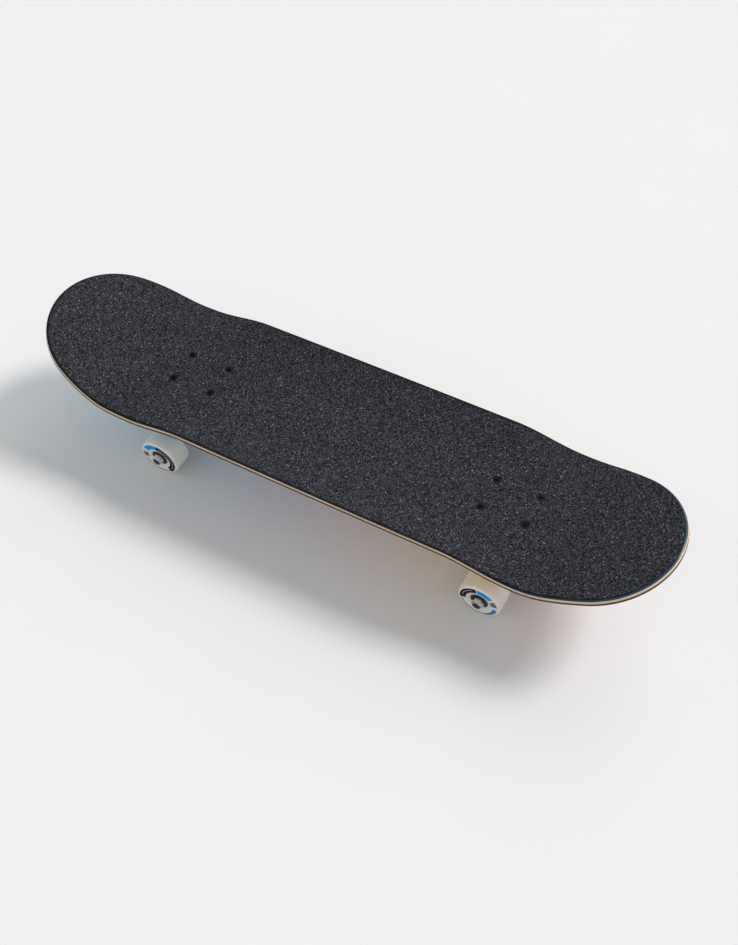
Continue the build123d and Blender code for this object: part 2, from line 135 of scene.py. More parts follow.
def surface(x, y, depth):
    """Height of the board's surface at `depth` below the grip's top face."""
    u = np.abs(x - MIDDLE)
    t = np.clip((u - CONCAVE_HALF) / (FADE_END - CONCAVE_HALF), 0, 1)
    curl = np.clip((np.abs(y) - FLAT_HALF) / (HALF_WIDTH - FLAT_HALF), 0, None) ** 2
    z = GRIP_TOP - depth + RISE * (1 - t * t * (3 - 2 * t)) * curl
    for shape in END_SHAPE.values():
        here = (x - MIDDLE) * shape["way"] > 0
        radius = BEND_RADIUS + depth
        v = np.clip(u - shape["kick"], 0, None)
        full = radius * math.sin(shape["angle"])
        arc = BEND_RADIUS - np.sqrt(radius**2 - np.minimum(v, full) ** 2)
        run = np.clip(v - full, 0, None) * math.tan(shape["angle"])
        z = np.where(here & (v > 0), GRIP_TOP + arc + run, z)
    return z


def edge_inset(depth_in_wood):
    """How far the rounded edge has drawn in at a depth in the wood."""
    faces = ((TOP_EDGE, depth_in_wood), (BOTTOM_EDGE, PLIES * PLY - depth_in_wood))
    for radius, from_face in faces:
        if from_face < radius:
            return radius - math.sqrt(radius**2 - (radius - max(from_face, 0)) ** 2)
    return 0.0


# ---------------------------------------------------------------- mesh helpers
WELD_GAP = 1e-6
CORNER_STEPS = 6


def new_object(name, vertices, faces, smooth=True):
    mesh = bpy.data.meshes.new(name)
    mesh.from_pydata([tuple(v) for v in vertices], [], faces)
    mesh.validate()
    made = bpy.data.objects.new(name, mesh)
    bpy.context.scene.collection.objects.link(made)
    if smooth:
        mesh.polygons.foreach_set("use_smooth", [True] * len(mesh.polygons))
    return made


def clean(made):
    """Welds the mesh and turns its faces outwards."""
    bm = bmesh.new()
    bm.from_mesh(made.data)
    bmesh.ops.remove_doubles(bm, verts=bm.verts, dist=WELD_GAP)
    bmesh.ops.recalc_face_normals(bm, faces=bm.faces)
    bm.to_mesh(made.data)
    bm.free()
    return made


# Share of the way in from the rim to the board's spine, for each ring of a sheet's faces.
INNER_RINGS = (0.02, 0.06, 0.12, 0.2, 0.3, 0.42, 0.56, 0.72, 0.88, 1.0)
FOCUS = {name: shape["start"] + 30 * MM for name, shape in END_SHAPE.items()}
GRIP_CUT = math.radians(43)
TAIL_GRIP_CUT = math.radians(12)
GRIP_STEPS = 5
PLY_STEPS = 5
TRIM_START = 240 * MM
TRIM_RUN = 110 * MM
TOP, WALL, BOTTOM = 0, 1, 2


def rim_at(inset, depth):
    """The board's outline lifted onto the surface at a depth."""
    flat = outline(inset, depth)
    return np.column_stack([flat, surface(flat[:, 0], flat[:, 1], depth)])


def slab(name, wall, tail_wall=None):
    """A closed sheet that follows the board.

    `wall` lists its edge from top to bottom as (inset, depth) pairs; its two faces run
    in from the first and the last of them. Towards the tail's tip the edge changes to
    `tail_wall`. The face attribute "part" says top, wall or bottom."""
    rims = [rim_at(inset, depth) for inset, depth in wall]
    depths = [np.full(len(rims[0]), depth) for _, depth in wall]
    if tail_wall:
        share = np.clip((rims[0][:, 0] - MIDDLE - TRIM_START) / TRIM_RUN, 0, 1)[:, None]
        for k, (inset, depth) in enumerate(tail_wall):
            rims[k] = rims[k] * (1 - share) + rim_at(inset, depth) * share
            depths[k] = depths[k] * (1 - share[:, 0]) + depth * share[:, 0]
    count = len(rims[0])

    def inner_ring(rim, share, at):
        spine = np.clip(rim[:, 0], MIDDLE - FOCUS["nose"], MIDDLE + FOCUS["tail"])
        x = rim[:, 0] + (spine - rim[:, 0]) * share
        y = rim[:, 1] * (1 - share)
        return np.column_stack([x, y, surface(x, y, at * (1 - share) + at[0] * share)])

    rings = [inner_ring(rims[0], s, depths[0]) for s in reversed(INNER_RINGS)]
    top_faces = len(rings)
    rings += rims
    wall_end = len(rings) - 1
    rings += [inner_ring(rims[-1], s, depths[-1]) for s in INNER_RINGS]
    faces = []
    kinds = []
    for r in range(len(rings) - 1):
        for k in range(count):
            n = (k + 1) % count
            here, below = r * count, (r + 1) * count
            faces.append((here + k, here + n, below + n, below + k))
            kinds.append(TOP if r < top_faces else WALL if r < wall_end else BOTTOM)
    made = new_object(name, np.vstack(rings), faces)
    made.data.attributes.new("part", "INT", "FACE").data.foreach_set("value", kinds)
    return clean(made)


def ply_wall(depth):
    """Edge of the ply that starts at a depth: its share of the board's rounded edge."""
    depths = np.linspace(depth, depth + PLY, PLY_STEPS)
    return [(edge_inset(float(d)), float(d) + GRIP) for d in depths]


def grip_wall(cut):
    """Edge of the grip: bent over the board's rounded edge, then cut off square."""
    outer = TOP_EDGE + GRIP
    points = []
    for k in range(GRIP_STEPS + 1):
        a = cut * k / GRIP_STEPS
        points.append((TOP_EDGE - outer * math.sin(a), outer * (1 - math.cos(a))))
    for k in range(GRIP_STEPS, -1, -1):
        a = cut * k / GRIP_STEPS
        points.append((TOP_EDGE - TOP_EDGE * math.sin(a), outer - TOP_EDGE * math.cos(a)))
    return points


def lathe(name, profile, segments=160):
    """Turns a closed profile of (along, radius) points about the local Y axis."""
    rings = []
    for along, radius in profile:
        angles = np.linspace(0, 2 * math.pi, segments, endpoint=False)
        across, up = radius * np.cos(angles), radius * np.sin(angles)
        rings.append(np.column_stack([across, np.full(segments, along), up]))
    faces = []
    rows = len(profile)
    for r in range(rows):
        here, after = r * segments, (r + 1) % rows * segments
        for k in range(segments):
            n = (k + 1) % segments
            faces.append((here + k, here + n, after + n, after + k))
    return clean(new_object(name, np.vstack(rings), faces))


def rounded(points, radii):
    """A closed profile with each corner rounded by its own radius."""
    made = []
    count = len(points)
    for k in range(count):
        before = Vector(points[k - 1])
        here = Vector(points[k])
        after = Vector(points[(k + 1) % count])
        radius = radii[k]
        if radius <= 0:
            made.append(tuple(here))
            continue
        a = (before - here).normalized()
        b = (after - here).normalized()
        half = a.angle(b) / 2
        reach = radius / math.tan(half)
        centre = here + (a + b).normalized() * (radius / math.sin(half))
        start = here + a * reach - centre
        finish = here + b * reach - centre
        sweep = start.angle(finish)
        for s in range(CORNER_STEPS + 1):
            t = s / CORNER_STEPS
            turned = start * math.sin((1 - t) * sweep) + finish * math.sin(t * sweep)
            made.append(tuple(centre + turned / math.sin(sweep)))
    return made


# ---------------------------------------------------------------- materials
class Nodes:
    """A new material and short calls for the nodes it is built from."""

    def __init__(self, name, **settings):
        self.material = bpy.data.materials.new(name)
        self.material.use_nodes = True
        self.tree = self.material.node_tree
        self.tree.nodes.clear()
        output = self.tree.nodes.new("ShaderNodeOutputMaterial")
        self.shader = self.add("BsdfPrincipled", **settings)
        self.link(self.shader, "BSDF", output, "Surface")
        self.place = self.add("TexCoord")

    def add(self, kind, **settings):
        """A new node. Each setting is one of its properties or an input's value."""
        made = self.tree.nodes.new("ShaderNode" + kind)
        for key, value in settings.items():
            if hasattr(made, key):
                setattr(made, key, value)
            else:
                made.inputs[key.replace("_", " ")].default_value = value
        return made

    def link(self, source, output, target, socket):
        self.tree.links.new(source.outputs[output], target.inputs[socket])

    def math(self, operation, a, b=None, clamp=False):
        """One sum, whose inputs are numbers or sockets."""
        made = self.tree.nodes.new("ShaderNodeMath")
        made.operation = operation
        made.use_clamp = clamp
        for index, value in enumerate((a, b)):
            if value is None:
                continue
            if isinstance(value, (int, float)):
                made.inputs[index].default_value = value
            else:
                self.tree.links.new(value, made.inputs[index])
        return made.outputs[0]

    def mix(self, share, a, b):
        """Mixes two colours, each a colour or a socket."""
        made = self.tree.nodes.new("ShaderNodeMix")
        made.data_type = "RGBA"
        for index, value in ((0, share), (6, a), (7, b)):
            if hasattr(value, "is_output"):
                self.tree.links.new(value, made.inputs[index])
            elif index == 0:
                made.inputs[index].default_value = value
            else:
                made.inputs[index].default_value = (*value, 1)
        return made.outputs[2]

    def noise(self, scale, detail, roughness, stretch=(1, 1, 1)):
        """Smooth noise fixed to the object."""
        mapping = self.add("Mapping")
        mapping.inputs["Scale"].default_value = stretch
        self.link(self.place, "Object", mapping, "Vector")
        made = self.add("TexNoise", Scale=scale, Detail=detail, Roughness=roughness)
        self.link(mapping, "Vector", made, "Vector")
        return made.outputs["Fac"]

    def cells(self, scale, output="Distance"):
        """Random cells fixed to the object."""
        made = self.add("TexVoronoi", Scale=scale)
        self.link(self.place, "Object", made, "Vector")
        return made.outputs[output]

    def spread(self, value, low, high, to_low=0.0, to_high=1.0):
        """Stretches a range of values onto another, and clamps to it."""
        made = self.tree.nodes.new("ShaderNodeMapRange")
        self.tree.links.new(value, made.inputs[0])
        for index, number in enumerate((low, high, to_low, to_high), 1):
            made.inputs[index].default_value = number
        return made.outputs[0]

    def to(self, socket, value):
        """Feeds one input of the shader."""
        self.tree.links.new(value, self.shader.inputs[socket])

    def bump(self, height, distance, strength):
        """Relief on the shader's surface."""
        made = self.add("Bump", Strength=strength, Distance=distance)
        self.tree.links.new(height, made.inputs["Height"])
        self.link(made, "Normal", self.shader, "Normal")


def grip_material(name, dark, light, painted_glint):
    """Black grit on an adhesive sheet: dark crystals, a few of which have a painted highlight, a
    glint painted into their colour.
    """
    m = Nodes(name, Roughness=0.75, Specular_IOR_Level=0.12)
    grains = m.cells(980, output="Color")
    split = m.add("SeparateColor")
    m.tree.links.new(grains, split.inputs[0])
    facet = m.math("POWER", split.outputs[0], 2.0)
    fine = m.spread(m.noise(2600, 2, 0.7), 0.3, 0.7, 0.55, 1.45)
    base = m.mix(m.math("MULTIPLY", facet, fine, clamp=True), dark, light)
    # painted highlight: a few grains take the bright glint colour into their base colour
    painted_glint_share = m.spread(split.outputs[1], 0.965, 1.0)
    m.to("Base Color", m.mix(painted_glint_share, base, painted_glint))
    height = m.math("ADD", m.cells(980), m.noise(2600, 2, 0.6))
    m.bump(height, 0.35 * MM, 0.8)
    return m.material


def veneer_material(name, light, dark, gloss, pore_strength=1.0):
    """Edge of a sanded, lacquered ply: fine grain running along the board."""
    m = Nodes(
        name, Roughness=0.5, Specular_IOR_Level=0.2, Coat_Weight=gloss, Coat_Roughness=0.15
    )
    streaks = m.noise(260, 5, 0.65, stretch=(0.12, 0.6, 2.2))
    patches = m.noise(22, 3, 0.6, stretch=(0.6, 1, 1))
    pores = m.spread(m.noise(1500, 2, 0.6, stretch=(0.2, 1, 1)), 0.60, 0.72)
    share = m.spread(m.math("ADD", streaks, m.math("MULTIPLY", patches, 0.6)), 0.55, 1.05)
    colour = m.mix(share, light, dark)
    pore_colour = tuple(c * 0.45 for c in dark)
    colour = m.mix(m.math("MULTIPLY", pores, 0.55 * pore_strength), colour, pore_colour)
    m.to("Base Color", colour)
    m.bump(m.math("ADD", streaks, pores), 0.03 * MM, 0.3)
    return m.material


def print_material():
    """Underside veneer with a printed graphic of flowing colour bands under lacquer."""
    m = Nodes("bottom_graphic", Roughness=0.3, Coat_Weight=0.8, Coat_Roughness=0.06)
    split = m.add("SeparateXYZ")
    m.link(m.place, "Object", split, "Vector")
    x, y = split.outputs[0], split.outputs[1]
    drift = m.math("MULTIPLY", m.math("SUBTRACT", m.noise(5.5, 2, 0.5), 0.5), 0.22)
    curve = m.math("MULTIPLY", m.math("SINE", m.math("MULTIPLY", y, 22.0)), 0.035)
    along = m.math("ADD", m.math("ADD", x, drift), curve)
    ramp = m.add("ValToRGB")
    colours = [
        (0.00, (0.42, 0.72, 0.86)),
        (0.20, (0.08, 0.48, 0.72)),
        (0.37, (0.26, 0.25, 0.40)),
        (0.52, (0.46, 0.30, 0.34)),
        (0.66, (0.80, 0.44, 0.12)),
        (0.77, (0.95, 0.66, 0.02)),
        (0.87, (0.68, 0.34, 0.38)),
        (1.00, (0.62, 0.58, 0.66)),
    ]
    stops = ramp.color_ramp.elements
    while len(stops) < len(colours):
        stops.new(0.5)
    for stop, (position, colour) in zip(stops, colours):
        stop.position = position
        stop.color = (*colour, 1)
    m.tree.links.new(m.spread(along, -0.40, 0.40), ramp.inputs[0])
    waves = m.math("SINE", m.math("MULTIPLY", along, 260.0))
    lines = m.spread(waves, 0.72, 0.86)
    colour = m.mix(m.math("MULTIPLY", lines, 0.35), ramp.outputs[0], (0.92, 0.90, 0.84))
    grain = m.spread(m.noise(210, 5, 0.7, stretch=(0.06, 1, 1)), 0.35, 0.75)
    colour = m.mix(m.math("MULTIPLY", grain, 0.16), colour, (0.10, 0.06, 0.04))
    m.to("Base Color", colour)
    m.bump(grain, 0.02 * MM, 0.3)
    return m.material


def metal_material(name, colour, roughness, wear=0.25, metallic=1.0):
    """Machined or plated steel: fine brushed grain with uneven roughness."""
    m = Nodes(name, Metallic=metallic)
    smears = m.noise(90, 4, 0.6)
    fine = m.noise(900, 3, 0.7, stretch=(1, 0.25, 1))
    worn = tuple(c * (1 - wear) for c in colour)
    m.to("Base Color", m.mix(m.spread(smears, 0.3, 0.7), colour, worn))
    uneven = m.math("ADD", fine, smears)
    m.to("Roughness", m.spread(uneven, 0.6, 1.4, roughness * 0.75, roughness * 1.35))
    m.bump(fine, 0.02 * MM, 0.6)
    return m.material


def cast_material():
    """Raw tumbled aluminium casting: satin, faintly pitted."""
    m = Nodes("cast_aluminium", Metallic=1.0)
    cloud = m.noise(55, 4, 0.65)
    pits = m.cells(1300)
    clouded = m.spread(cloud, 0.3, 0.7)
    m.to("Base Color", m.mix(clouded, (0.66, 0.67, 0.68), (0.47, 0.48, 0.50)))
    uneven = m.math("ADD", cloud, m.noise(700, 3, 0.7))
    m.to("Roughness", m.spread(uneven, 0.6, 1.4, 0.26, 0.5))
    m.bump(m.math("ADD", m.spread(pits, 0.0, 0.5), m.noise(1600, 3, 0.6)), 0.06 * MM, 0.6)
    return m.material


def urethane_material(name, colour, shade, rough=0.38, soft=0.12):
    """Moulded urethane: slightly translucent, with faint clouding."""
    m = Nodes(
        name, Subsurface_Weight=soft, Subsurface_Scale=4 * MM, Coat_Weight=0.15,
        Coat_Roughness=0.25,
    )
    cloud = m.noise(70, 3, 0.6)
    m.to("Base Color", m.mix(m.spread(cloud, 0.3, 0.7), colour, shade))
    m.to("Roughness", m.spread(m.noise(420, 3, 0.6), 0.3, 0.7, rough * 0.85, rough * 1.25))
    m.bump(m.noise(900, 2, 0.6), 0.03 * MM, 0.5)
    return m.material


WHEEL_HALF = 13.7 * MM
PRINT_START = 13.2 * MM
BAND_IN = 15.7 * MM
BAND_OUT = 23.2 * MM
LINE_MID = 20.4 * MM
BLACK_INK = (0.003, 0.003, 0.0035)
RING_INK = (0.008, 0.008, 0.010)
DOT_INK = (0.010, 0.008, 0.006)
BLUE_INK = (0.001, 0.36, 0.84)


def wheel_material(name, outwards, marks):
    """Off-white urethane. Its outer face has a printed ring of generic bands and ticks.

    marks lists (kind, from, to) in degrees, counted from +X towards +Z on the outer
    face as seen from outside the wheel."""
    m = Nodes(name, Subsurface_Weight=0.12, Subsurface_Scale=3 * MM, Specular_IOR_Level=0.16)
    split = m.add("SeparateXYZ")
    m.link(m.place, "Object", split, "Vector")
    x, y, z = split.outputs
    squares = m.math("ADD", m.math("MULTIPLY", x, x), m.math("MULTIPLY", z, z))
    radius = m.math("SQRT", squares)
    angle = m.math("DEGREES", m.math("ARCTAN2", z, m.math("MULTIPLY", x, -outwards)))
    face = m.math("GREATER_THAN", m.math("MULTIPLY", y, outwards), PRINT_START)
    ragged = m.math("SUBTRACT", m.noise(1300, 2, 0.6), 0.5)
    ragged = m.math("MULTIPLY", ragged, 0.25 * MM)
    edge = m.math("ADD", radius, ragged)

    def band(value, low, high, soft):
        """One between low and high, with soft sides."""
        rising = m.spread(value, low - soft, low + soft)
        falling = m.spread(value, high - soft, high + soft, 1.0, 0.0)
        return m.math("MULTIPLY", rising, falling)

    def sector(start, end):
        """A share of the turn, and the angle from its middle."""
        middle = (start + end) / 2
        turn = m.math("SUBTRACT", angle, middle)
        turn = m.math("WRAP", turn, 180.0)
        turn.node.inputs[2].default_value = -180.0
        half = (end - start) / 2
        return band(turn, -half, half, 0.6), turn

    cloud = m.noise(60, 3, 0.6)
    colour = m.mix(m.spread(cloud, 0.3, 0.7), (0.93, 0.905, 0.84), (0.87, 0.84, 0.76))
    ink = None
    for kind, start, end in marks:
        within, turn = sector(start, end)
        if kind == "band":
            inked = m.math("MULTIPLY", within, band(edge, BAND_IN, BAND_OUT, 0.1 * MM))
            ticks = m.math("SINE", m.math("MULTIPLY", turn, 1.3))
            tall = band(edge, 19.5 * MM, 20.3 * MM, 0.08 * MM)
            dashes = m.math("MULTIPLY", m.spread(ticks, -0.2, 0.1), tall)
            near, _ = sector(start + 14, end - 14)
            dashes = m.math("MULTIPLY", dashes, near)
            tint = m.mix(dashes, BLACK_INK, (0.88, 0.88, 0.86))
        elif kind == "blue":  # a band with a darker mottled middle
            inked = m.math("MULTIPLY", within, band(edge, BAND_IN, BAND_OUT, 0.12 * MM))
            cellular = m.spread(m.noise(520, 3, 0.6), 0.5, 0.62)
            tall = band(edge, 18.2 * MM, 21.2 * MM, 0.4 * MM)
            core = m.math("MULTIPLY", band(turn, -9, 9, 4), tall)
            tint = m.mix(m.math("MULTIPLY", cellular, core), BLUE_INK, (0.001, 0.03, 0.10))
        elif kind == "sweep":  # a line that widens and turns blue
            share = m.spread(turn, (start - end) / 2, (end - start) / 2)
            low = m.math("SUBTRACT", LINE_MID, m.math("MULTIPLY", share, 3.4 * MM))
            high = m.math("ADD", 21.8 * MM, m.math("MULTIPLY", share, 0.9 * MM))
            above = m.math("GREATER_THAN", edge, low)
            inside = m.math("MULTIPLY", above, m.math("LESS_THAN", edge, high))
            inked = m.math("MULTIPLY", within, inside)
            tint = m.mix(share, (0.01, 0.04, 0.10), BLUE_INK)
        elif kind == "ring":
            inked = m.math("MULTIPLY", within, band(edge, 20.5 * MM, 21.8 * MM, 0.08 * MM))
            tint = RING_INK
        else:  # a small grid of dots
            inked = m.math("MULTIPLY", within, band(edge, 15.4 * MM, 22.9 * MM, 0.1 * MM))
            round_way = m.math("SINE", m.math("MULTIPLY", turn, math.radians(50)))
            out_way = m.math("SINE", m.math("MULTIPLY", radius, math.tau / (2.5 * MM)))
            spots = m.math("MULTIPLY", round_way, out_way)
            inked = m.math("MULTIPLY", inked, m.spread(m.math("ABSOLUTE", spots), 0.08, 0.14))
            tint = DOT_INK
        shown = m.math("MULTIPLY", inked, face)
        colour = m.mix(shown, colour, tint)
        ink = shown if ink is None else m.math("MAXIMUM", ink, shown)
    m.to("Base Color", colour)
    m.to("Roughness", m.spread(m.noise(420, 3, 0.6), 0.3, 0.7, 0.42, 0.6))
    relief = m.math("ADD", m.math("MULTIPLY", ink, 0.5), m.noise(800, 2, 0.6))
    m.bump(relief, 0.03 * MM, 0.5)
    return m.material


MAPLE = veneer_material("maple_edge", (0.86, 0.64, 0.42), (0.66, 0.46, 0.27), 0.3)
PLY_MATERIALS = {
    1: veneer_material("blue_ply", (0.012, 0.060, 0.120), (0.006, 0.034, 0.075), 0.5, 0.5),
    2: MAPLE,
    3: MAPLE,
    4: veneer_material("brown_ply", (0.095, 0.052, 0.040), (0.055, 0.028, 0.022), 0.03, 0.5),
    5: veneer_material("plum_ply", (0.040, 0.024, 0.032), (0.022, 0.012, 0.018), 0.03, 0.5),
    6: veneer_material("walnut_ply", (0.075, 0.045, 0.038), (0.045, 0.026, 0.022), 0.03, 0.5),
    7: MAPLE,
}
GRAPHIC = print_material()
# The last colour of each grit material is its painted glint, a painted highlight.
FILED_GRIT = grip_material(
    "filed_grit", (0.001, 0.001, 0.001), (0.024, 0.024, 0.028), (0.05, 0.05, 0.06)
)
# Each CAD node takes the material with the longest key that its name ends with.
CAD_MATERIALS = {
    # the last colour is the grit's painted glint, a painted highlight
    "grip_tape": grip_material(
        "grip_grit", (0.0015, 0.0015, 0.002), (0.078, 0.082, 0.100), (0.24, 0.26, 0.30)
    ),
    "mounting_bolts": metal_material("black_bolt", (0.02, 0.02, 0.022), 0.55, wear=0.4),
    "mounting_nuts": metal_material("zinc_nut", (0.62, 0.62, 0.63), 0.3),
    "kingpin": metal_material("kingpin_steel", (0.50, 0.50, 0.51), 0.34),
    "kingpin_nut": metal_material("zinc_kingpin_nut", (0.60, 0.60, 0.62), 0.3),
    "side_washer": metal_material("cup_washer_steel", (0.66, 0.66, 0.67), 0.26),
    "side_bushing": urethane_material(
        "bushing_urethane", (0.80, 0.50, 0.05), (0.68, 0.40, 0.04)
    ),
    "pivot_cup": urethane_material(
        "pivot_cup_urethane", (0.02, 0.02, 0.021), (0.03, 0.03, 0.03), soft=0.0
    ),
    "baseplate": cast_material(),
    "axle_nuts": metal_material("zinc_axle_nut", (0.80, 0.81, 0.82), 0.16, wear=0.3),
    "axle_spacer": metal_material("spacer_steel", (0.62, 0.62, 0.64), 0.3),
    "speed_washers": metal_material("speed_washer_steel", (0.58, 0.58, 0.60), 0.3),
    "axle": metal_material("blackened_axle", (0.035, 0.034, 0.034), 0.4, metallic=0.5),
    "bearing_shields": urethane_material(
        "bearing_shield", (0.006, 0.006, 0.0065), (0.010, 0.010, 0.011), 0.6, soft=0.0
    ),
    # painted shade: the outer races are made dark to stand in for the shade in the wheel's
    # bearing recess
    "bearing_outer_races": metal_material(
        "race_steel_painted_shade", (0.07, 0.07, 0.075), 0.3, metallic=0.8
    ),
    "races": metal_material("bearing_race_steel", (0.66, 0.66, 0.68), 0.18),
    "bearing_balls": metal_material("bearing_ball_steel", (0.72, 0.72, 0.74), 0.08),
}
CAD_MATERIALS["hanger"] = CAD_MATERIALS["baseplate"]

# ---------------------------------------------------------------- CAD nodes that stay
CASTINGS = ("baseplate", "hanger")
SHARP = ("mounting_nuts", "kingpin", "kingpin_nut", "side_washer", "axle_nuts", "speed_washers")
CAD_WELD = 0.01 * MM
CAST_GRID = 0.75 * MM
CAST_PASSES = 7
EDGE_BREAK = 0.3 * MM
SHARP_ANGLE = math.radians(38)


def as_cast(node):
    """Melts the sharp inner and outer corners of a casting together."""
    weld = node.modifiers.new("weld", "WELD")
    weld.merge_threshold = CAD_WELD
    grid = node.modifiers.new("grid", "REMESH")
    grid.mode = "VOXEL"
    grid.voxel_size = CAST_GRID
    grid.use_smooth_shade = True
    melt = node.modifiers.new("melt", "SMOOTH")
    melt.factor = 0.5
    melt.iterations = CAST_PASSES


def broken_edges(node):
    """Takes the sharpness off machined edges."""
    weld = node.modifiers.new("weld", "WELD")
    weld.merge_threshold = CAD_WELD
    edge = node.modifiers.new("edge", "BEVEL")
    edge.width = EDGE_BREAK
    edge.segments = 2
    edge.limit_method = "ANGLE"
    edge.angle_limit = SHARP_ANGLE


for name, node in nodes.items():
    for ending in sorted(CAD_MATERIALS, key=len, reverse=True):
        if name.endswith(ending):
            node.data.materials.clear()
            node.data.materials.append(CAD_MATERIALS[ending])
            break
    if name.endswith(CASTINGS):
        as_cast(node)
    elif name.endswith(SHARP):
        broken_edges(node)

# ---------------------------------------------------------------- board layers
BOLT_PITCH = (53.975 * MM, 41.275 * MM)
TRUCK_FROM_MIDDLE = 207.9875 * MM
BOLT_HOLE = 2.75 * MM
BOLT_HEAD = 4.85 * MM
HEAD_SINK = 0.2 * MM
SLOPE = math.tan(math.radians(41))
DRILL_DEPTH = 16 * MM
DRILL_OVER = 2 * MM
CORNERS = [(u, v) for u in (-0.5, 0.5) for v in (-0.5, 0.5)]


def bolt_places(way):
    """Where the four bolts of one truck stand, seen from above."""
    truck_x = MIDDLE + way * TRUCK_FROM_MIDDLE
    return [(truck_x + u * BOLT_PITCH[0], v * BOLT_PITCH[1]) for u, v in CORNERS]


def drill():
    """One mesh that stands in the board's eight countersunk bolt holes."""
    sink_z = GRIP_TOP - HEAD_SINK
    neck_z = sink_z - (BOLT_HEAD - BOLT_HOLE) / SLOPE
    profile = [
        (GRIP_TOP - DRILL_DEPTH, BOLT_HOLE),
        (neck_z, BOLT_HOLE),
        (sink_z, BOLT_HEAD),
        (GRIP_TOP + DRILL_OVER, BOLT_HEAD),
    ]
    angles = np.linspace(0, 2 * math.pi, 40, endpoint=False)
    count = len(angles)
    vertices, faces = [], []
    for x, y in bolt_places(ENDS["nose"]) + bolt_places(ENDS["tail"]):
        base = len(vertices)
        for z, radius in profile:
            for a in angles:
                vertices.append((x + radius * math.cos(a), y + radius * math.sin(a), z))
        for r in range(len(profile) - 1):
            for k in range(count):
                n = (k + 1) % count
                low, high = base + r * count, base + (r + 1) * count
                faces.append((low + k, low + n, high + n, high + k))
        faces.append([base + k for k in reversed(range(count))])
        last = base + (len(profile) - 1) * count
        faces.append([last + k for k in range(count)])
    return new_object("drill", vertices, faces, smooth=False)


def bore(made, tool):
    """Cuts the tool's holes through a mesh."""
    cut = made.modifiers.new("bolt_holes", "BOOLEAN")
    cut.operation = "DIFFERENCE"
    cut.solver = "EXACT"
    cut.object = tool
    shown = made.evaluated_get(bpy.context.evaluated_depsgraph_get())
    old = made.data
    made.data = bpy.data.meshes.new_from_object(shown)
    made.modifiers.remove(cut)
    bpy.data.meshes.remove(old)
    made.data.name = made.name


def second_material(made, material, part):
    """Gives one part of a sheet, its top, wall or bottom, a second material."""
    made.data.materials.append(material)
    parts = made.data.attributes["part"].data
    for face in made.data.polygons:
        face.material_index = 1 if parts[face.index].value == part else 0


hole_tool = drill()
grip = slab("grip_sheet", grip_wall(GRIP_CUT), grip_wall(TAIL_GRIP_CUT))
bore(grip, hole_tool)
grip.data.materials.append(CAD_MATERIALS["grip_tape"])
second_material(grip, FILED_GRIT, WALL)
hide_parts("grip_tape")
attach(grip, "board")
for number in range(1, PLIES + 1):
    ply = slab(f"board_ply_{number}", ply_wall((number - 1) * PLY))
    bore(ply, hole_tool)
    ply.data.materials.append(PLY_MATERIALS[number])
    if number == PLIES:
        second_material(ply, GRAPHIC, BOTTOM)
    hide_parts(f"ply_{number}")
    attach(ply, "board")
bpy.data.objects.remove(hole_tool)

# ---------------------------------------------------------------- wheels
# Corners of the wheel's section as (along the axle, radius), each with its rounding.
WHEEL_PROFILE = [
    ((WHEEL_HALF, 26 * MM), 3.4 * MM),
    ((WHEEL_HALF, 15.2 * MM), 0.5 * MM),
    ((12 * MM, 13 * MM), 0.4 * MM),
    ((12 * MM, 11 * MM), 0.0),
    ((5 * MM, 11 * MM), 0.0),
    ((5 * MM, 8.5 * MM), 0.3 * MM),
    ((-5 * MM, 8.5 * MM), 0.3 * MM),
    ((-5 * MM, 11 * MM), 0.0),
    ((-12 * MM, 11 * MM), 0.0),
    ((-12 * MM, 13 * MM), 0.4 * MM),
    ((-WHEEL_HALF, 15.2 * MM), 0.5 * MM),
    ((-WHEEL_HALF, 26 * MM), 3.4 * MM),
]
MARKS = {
    "nose_left": [("band", -50, 93), ("blue", 93, 153), ("dots", 170, 196), ("ring", -157, -50)],
    "tail_left": [
        ("band", 100, 188), ("blue", 44, 98), ("dots", 8, 34), ("sweep", -76, -6),
        ("ring", -172, -76),
    ],
}
MARKS["nose_right"] = MARKS["tail_left"]
MARKS["tail_right"] = MARKS["nose_left"]
for end in ENDS:
    for side, outwards in SIDES.items():
        label = f"{end}_{side}"
        wheel = lathe(f"{label}_urethane", rounded(*zip(*WHEEL_PROFILE)))
        wheel.location = joints[f"{label}_wheel_spin"]["pos_m"]
        wheel.data.materials.append(wheel_material(f"{label}_print", outwards, MARKS[label]))
        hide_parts(f"{label}_wheel")
        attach(wheel, f"{label}_wheel_unit")

# ---------------------------------------------------------------- bushings
BOARD_BOTTOM = GRIP_TOP - GRIP - PLIES * PLY
RING_PLACE = (-17.5 * MM, 33.5 * MM)  # outwards from the truck's middle, and below the board
KINGPIN_LEAN = math.radians(28)
RING_SEAT = 4.55 * MM
BUSHING_WIDE = 14 * MM
BUSHING_TIP = 9.6 * MM
BUSHING_BORE = 5.65 * MM  # wider than in the CAD, to clear the kingpin at full lean
BUSHING_NARROWING = 0.5 * MM
BUSHING_FLAT = 1.2 * MM
BUSHING_ROUND = 0.35 * MM
BUSHING_SHAPES = {
    "board": (13.5 * MM, BUSHING_WIDE - BUSHING_NARROWING),
    "road": (9.5 * MM, BUSHING_TIP),
}
BULGE = 0.4 * MM


def bushing_profile(height, far_radius):
    """Half-section of a bushing from the ring outwards: a slight barrel with a bore."""
    wall = [
        (0.0, BUSHING_BORE),
        (0.0, BUSHING_WIDE - BUSHING_FLAT),
        (BUSHING_ROUND, BUSHING_WIDE - BUSHING_ROUND),
    ]
    narrowing = far_radius - BUSHING_WIDE + BUSHING_NARROWING
    for t in np.linspace(0.09, 0.91, 9):
        radius = BUSHING_WIDE - BUSHING_NARROWING + narrowing * t
        wall.append((height * t, radius + BULGE * math.sin(math.pi * t)))
    wall.append((height - BUSHING_ROUND, far_radius - BUSHING_ROUND))
    wall.append((height, far_radius - BUSHING_FLAT))
    bore_steps = [(height * t, BUSHING_BORE) for t in np.linspace(1, 0.1, 8)]
    return wall + bore_steps


